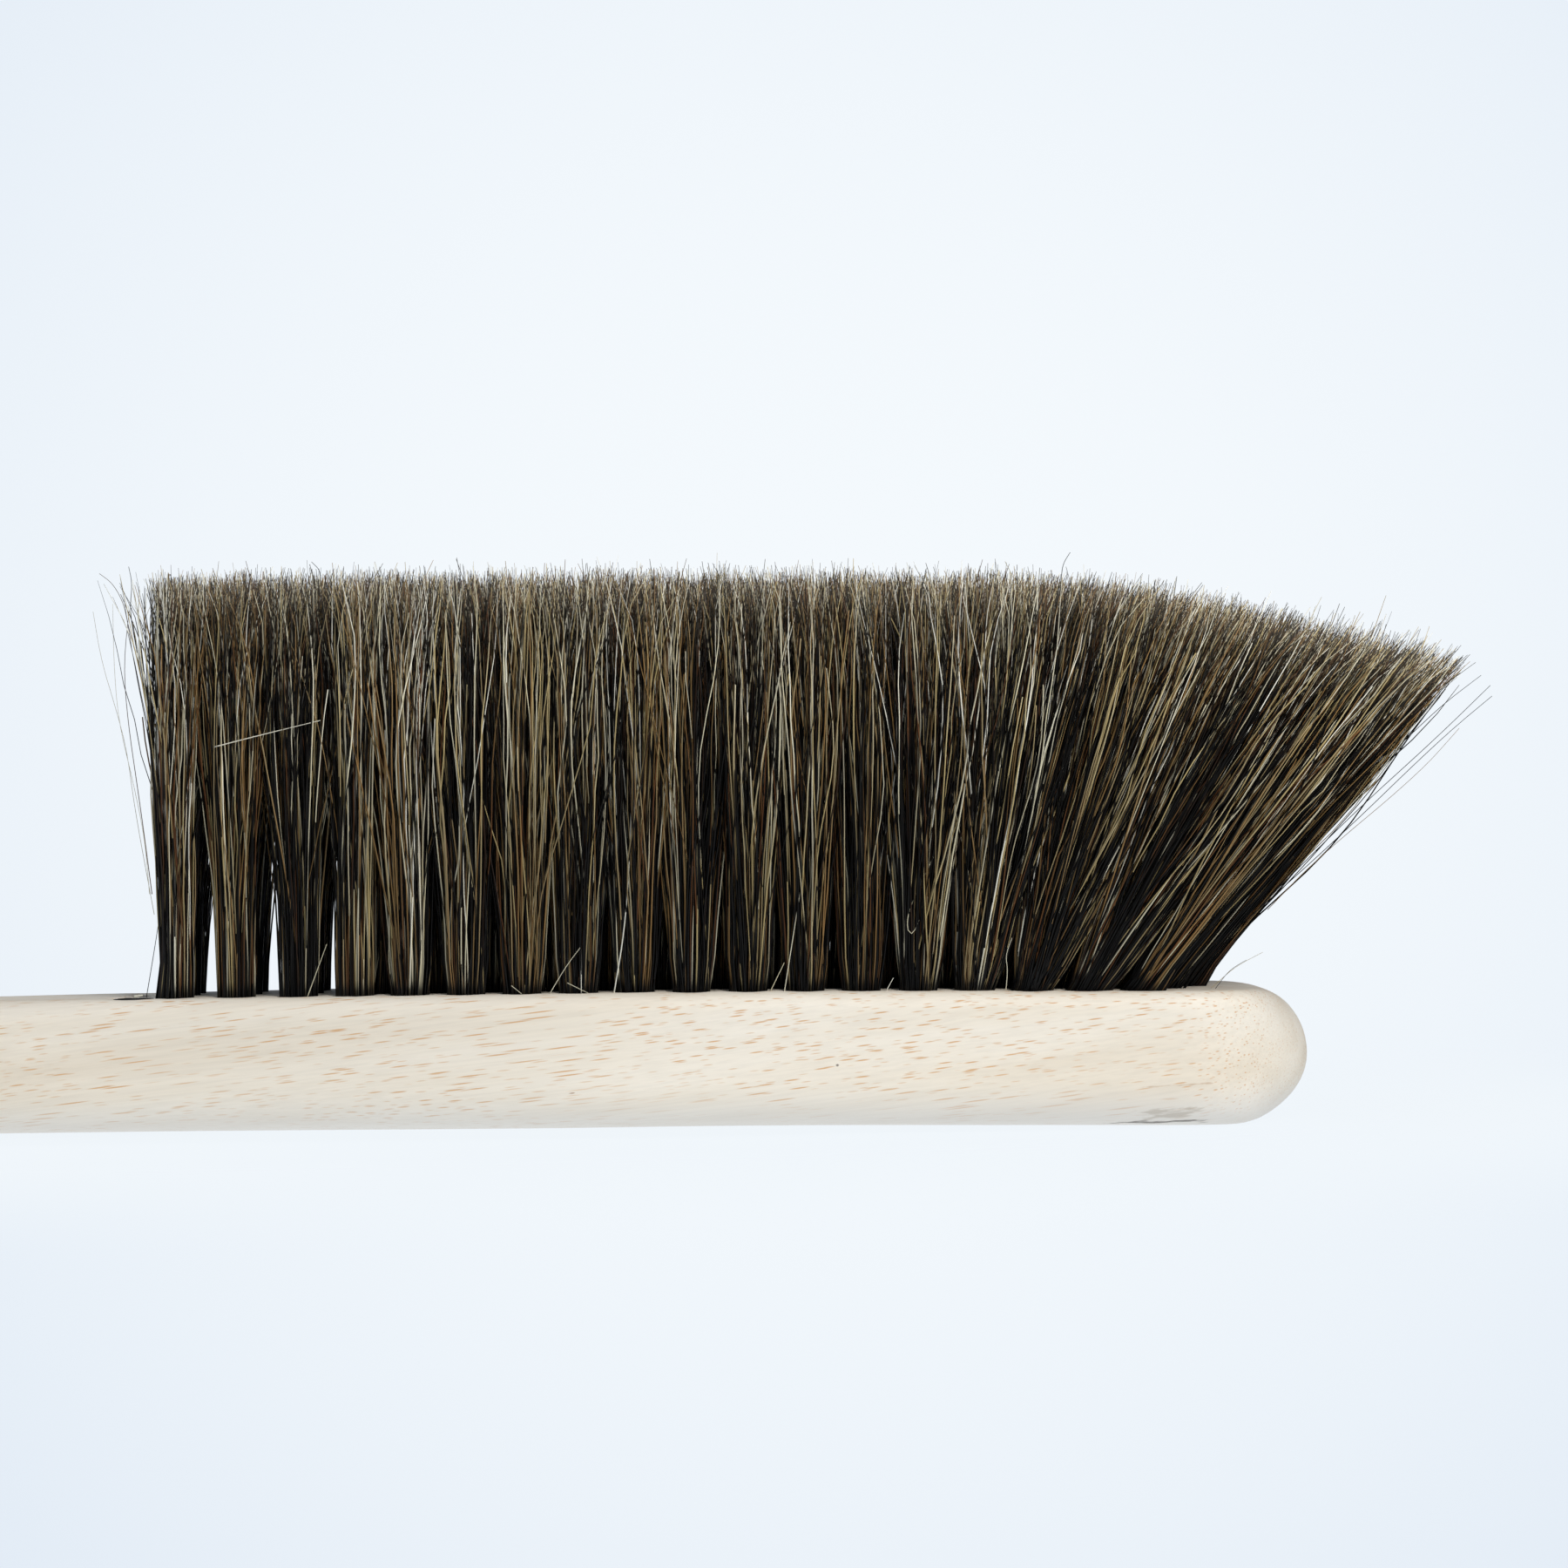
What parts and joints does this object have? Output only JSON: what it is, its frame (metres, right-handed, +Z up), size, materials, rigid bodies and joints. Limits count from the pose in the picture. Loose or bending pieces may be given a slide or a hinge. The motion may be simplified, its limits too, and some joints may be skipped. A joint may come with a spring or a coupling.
{
  "type": "counter brush",
  "caption": "Wooden hand brush for sweeping counters and floors, with tufts of natural hair set in blind holes and raked forward at the tip.",
  "frame": {"origin": "middle of the brush's bounding box, at the level of the surface that its back rests on", "axes": "+Z up, the way the bristles point; +X from the handle end to the tip; +Y across the brush"},
  "size_m": [0.324, 0.0442, 0.0817],
  "materials": {
    "wood": "fine sanded, unvarnished pale hardwood",
    "hair": "mixed black, brown, tan and grey natural hair",
    "wire": "flat drawn staple wire"
  },
  "bodies": {
    "root": {"wooden_body": "wood", "near_tuft_01": "hair", "near_tuft_02": "hair", "near_tuft_03": "hair", "near_tuft_04": "hair", "near_tuft_05": "hair", "near_tuft_06": "hair", "near_tuft_07": "hair", "near_tuft_08": "hair", "near_tuft_09": "hair", "near_tuft_10": "hair", "near_tuft_11": "hair", "near_tuft_12": "hair", "near_tuft_13": "hair", "near_tuft_14": "hair", "near_tuft_15": "hair", "near_tuft_16": "hair", "near_tuft_17": "hair", "near_tuft_18": "hair", "far_tuft_01": "hair", "far_tuft_02": "hair", "far_tuft_03": "hair", "far_tuft_04": "hair", "far_tuft_05": "hair", "far_tuft_06": "hair", "far_tuft_07": "hair", "far_tuft_08": "hair", "far_tuft_09": "hair", "far_tuft_10": "hair", "far_tuft_11": "hair", "far_tuft_12": "hair", "far_tuft_13": "hair", "far_tuft_14": "hair", "far_tuft_15": "hair", "far_tuft_16": "hair", "far_tuft_17": "hair", "far_tuft_18": "hair", "centre_tuft_01": "hair", "centre_tuft_02": "hair", "centre_tuft_03": "hair", "centre_tuft_04": "hair", "centre_tuft_05": "hair", "centre_tuft_06": "hair", "centre_tuft_07": "hair", "centre_tuft_08": "hair", "centre_tuft_09": "hair", "centre_tuft_10": "hair", "centre_tuft_11": "hair", "centre_tuft_12": "hair", "centre_tuft_13": "hair", "centre_tuft_14": "hair", "centre_tuft_15": "hair", "centre_tuft_16": "hair", "centre_tuft_17": "hair", "centre_tuft_18": "hair", "centre_tuft_19": "hair", "inner_row_near": "hair", "inner_row_far": "hair"}
  },
  "joints": []
}
